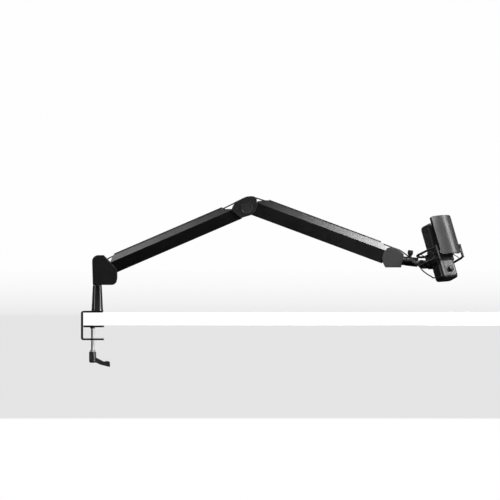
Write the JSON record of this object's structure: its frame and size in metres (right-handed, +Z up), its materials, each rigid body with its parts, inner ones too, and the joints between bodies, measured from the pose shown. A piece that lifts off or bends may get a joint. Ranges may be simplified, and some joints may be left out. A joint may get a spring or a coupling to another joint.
{
  "type": "boom arm condenser microphone",
  "caption": "Side-address condenser microphone with curved pop screen in a wire shock mount, on a folding spring boom arm with ball head and screw desk clamp.",
  "frame": {"origin": "on the clamp's seat, where it rests on the desk top, under the riser's axis", "axes": "+X along the arm's reach towards the microphone, +Y away from the side that the picture shows, +Z up"},
  "size_m": [0.9938, 0.1568, 0.4439],
  "materials": {
    "black_steel": "satin black powder coat",
    "black_rubber": "matt",
    "gloss_black": "gloss black paint",
    "bush_brass": "plain turned",
    "screw_steel": "zinc plated, turned",
    "spring_steel": "oiled",
    "lever_plastic": "fine moulded texture",
    "dark_plastic": "fine moulded texture",
    "cover_plastic": "soft moulded texture",
    "cap_plastic": "satin",
    "arm_paint": "satin black paint",
    "lid_plastic": "satin",
    "cast_alloy": "cast, blackened",
    "lead_jacket": "smooth",
    "head_black": "satin black",
    "knob_rubber": "ribbed",
    "rod_black": "satin black",
    "elastic_fabric": "braided",
    "mic_body": "satin dark grey",
    "mic_grille": "satin dark grey mesh",
    "capsule_brass": "gold sputtered",
    "board_green": "solder mask",
    "plug_plastic": "moulded",
    "dial_metal": "dark anodised",
    "pop_metal": "satin dark grey"
  },
  "bodies": {
    "clamp": {"clamp_bracket": "black_steel", "seat_pad": "black_rubber", "riser_post": "gloss_black", "riser_bush": "bush_brass"},
    "pad": {"pad_plate": "black_steel", "screw_shoe": "black_steel"},
    "screw": {"clamp_screw": "screw_steel", "toothed_collar": "screw_steel", "lever_spring": "spring_steel", "lever_screw": "screw_steel"},
    "lever": {"clamp_lever": "lever_plastic"},
    "turret": {"turret_spigot": "screw_steel", "turret_yoke": "dark_plastic", "shoulder_cover_near": "cover_plastic", "shoulder_cover_far": "cover_plastic", "shoulder_pin": "screw_steel"},
    "lower_arm": {"lower_tube": "arm_paint", "elbow_fork": "cast_alloy", "elbow_cover_near": "cover_plastic", "elbow_cover_far": "cover_plastic", "elbow_caps": "cap_plastic", "elbow_pin": "screw_steel", "lower_spring": "spring_steel", "cable_shoulder": "lead_jacket"},
    "lower_lid": {"lower_channel_cover": "lid_plastic"},
    "upper_arm": {"upper_tube": "arm_paint", "elbow_tongue": "cast_alloy", "upper_spring": "spring_steel", "wrist_tongue": "cast_alloy", "cable_elbow": "lead_jacket"},
    "upper_lid": {"upper_channel_cover": "lid_plastic"},
    "wrist": {"wrist_block": "dark_plastic", "wrist_cover_near": "cover_plastic", "wrist_cover_far": "cover_plastic", "wrist_pin": "screw_steel", "ball_head_barrel": "head_black", "cable_wrist": "lead_jacket"},
    "ball_lock": {"lock_knob": "knob_rubber"},
    "stud": {"ball_stud": "screw_steel", "cable_tail": "lead_jacket"},
    "knuckle": {"knuckle_fork": "head_black"},
    "tilt_lock": {"tilt_knob": "knob_rubber"},
    "shock_mount": {"upper_rod": "rod_black", "lower_rod": "rod_black", "back_bridge": "dark_plastic", "front_posts": "rod_black", "elastic_cords": "elastic_fabric"},
    "microphone": {"cradle_sleeve": "dark_plastic", "rear_shell": "mic_body", "front_shell": "mic_body", "grille": "mic_grille", "capsule": "capsule_brass", "chassis": "cast_alloy", "circuit_board": "board_green", "cable_plug": "plug_plastic"},
    "dial_push": {"dial_shaft": "screw_steel"},
    "dial": {"dial_knob": "dial_metal"},
    "pop_screen": {"pop_filter": "pop_metal"}
  },
  "joints": [
    {"name": "jaw_travel", "type": "slide", "parent": "clamp", "child": "pad", "axis": [0, 0, 1], "range_m": [-0.0235, 0.025]},
    {"name": "screw_spin", "type": "hinge", "parent": "pad", "child": "screw", "pos_m": [-0.0121, 0, -0.07], "axis": [0, 0, 1], "range_deg": [-6800, 7300]},
    {"name": "lever_lift", "type": "slide", "parent": "screw", "child": "lever", "axis": [0, 0, -1], "range_m": [0, 0.004], "stiffness_N_per_m": 2500, "springref_m": -0.004, "deforming": ["lever_spring"]},
    {"name": "turret_yaw", "type": "hinge", "parent": "clamp", "child": "turret", "pos_m": [0, 0, 0.06], "axis": [0, 0, 1], "continuous": true},
    {"name": "shoulder_lift", "type": "hinge", "parent": "turret", "child": "lower_arm", "pos_m": [0.0226, 0, 0.1185], "axis": [0, -1, 0], "range_deg": [-28, 60], "deforming": ["cable_shoulder"]},
    {"name": "lower_lid_lift", "type": "slide", "parent": "lower_arm", "child": "lower_lid", "axis": [-0.3955, 0, 0.9184], "range_m": [0, 0.03]},
    {"name": "elbow_fold", "type": "hinge", "parent": "lower_arm", "child": "upper_arm", "pos_m": [0.38795, 0, 0.27105], "axis": [0, -1, 0], "range_deg": [-65, 45], "deforming": ["cable_elbow"]},
    {"name": "upper_lid_lift", "type": "slide", "parent": "upper_arm", "child": "upper_lid", "axis": [0.3486, 0, 0.9373], "range_m": [0, 0.03]},
    {"name": "wrist_tilt", "type": "hinge", "parent": "upper_arm", "child": "wrist", "pos_m": [0.76416, 0, 0.14342], "axis": [0, -1, 0], "range_deg": [-55, 40], "deforming": ["cable_wrist"]},
    {"name": "ball_lock_turn", "type": "hinge", "parent": "wrist", "child": "ball_lock", "pos_m": [0.81132, 0, 0.13305], "axis": [0.1115, 0, 0.9938], "range_deg": [-30, 330]},
    {"name": "ball_swing", "type": "hinge", "parent": "wrist", "child": "stud", "pos_m": [0.8296, 0, 0.131], "axis": [0.1115, 0, 0.9938], "range_deg": [-28, 45], "deforming": ["cable_tail"]},
    {"name": "head_roll", "type": "hinge", "parent": "stud", "child": "knuckle", "pos_m": [0.8296, 0, 0.131], "axis": [0.6691, -0.7317, -0.1299], "range_deg": [-45, 45]},
    {"name": "tilt_lock_turn", "type": "hinge", "parent": "knuckle", "child": "tilt_lock", "pos_m": [0.85402, -0.02671, 0.12626], "axis": [0.7415, 0.6691, 0.0508], "range_deg": [-330, 30]},
    {"name": "mount_tilt", "type": "hinge", "parent": "knuckle", "child": "shock_mount", "pos_m": [0.85402, -0.02671, 0.12626], "axis": [0.7415, 0.6691, 0.0508], "range_deg": [-35, 30]},
    {"name": "mic_float", "type": "slide", "parent": "shock_mount", "child": "microphone", "axis": [-0.2649, 0.2223, 0.9383], "range_m": [-0.003, 0.003], "stiffness_N_per_m": 3500, "deforming": ["elastic_cords"]},
    {"name": "dial_press", "type": "slide", "parent": "microphone", "child": "dial_push", "axis": [-0.6165, 0.7092, -0.342], "range_m": [0, 0.0006], "stiffness_N_per_m": 2500, "springref_m": -0.0006},
    {"name": "dial_turn", "type": "hinge", "parent": "dial_push", "child": "dial", "pos_m": [0.90139, -0.07777, 0.1075], "axis": [0.6165, -0.7092, 0.342], "continuous": true},
    {"name": "pop_screen_pull", "type": "slide", "parent": "shock_mount", "child": "pop_screen", "axis": [0.6165, -0.7092, 0.342], "range_m": [0, 0.06]}
  ],
  "couplings": [
    {"joint": "screw_spin", "follows": "jaw_travel", "rad_per_m": 5026.5}
  ]
}
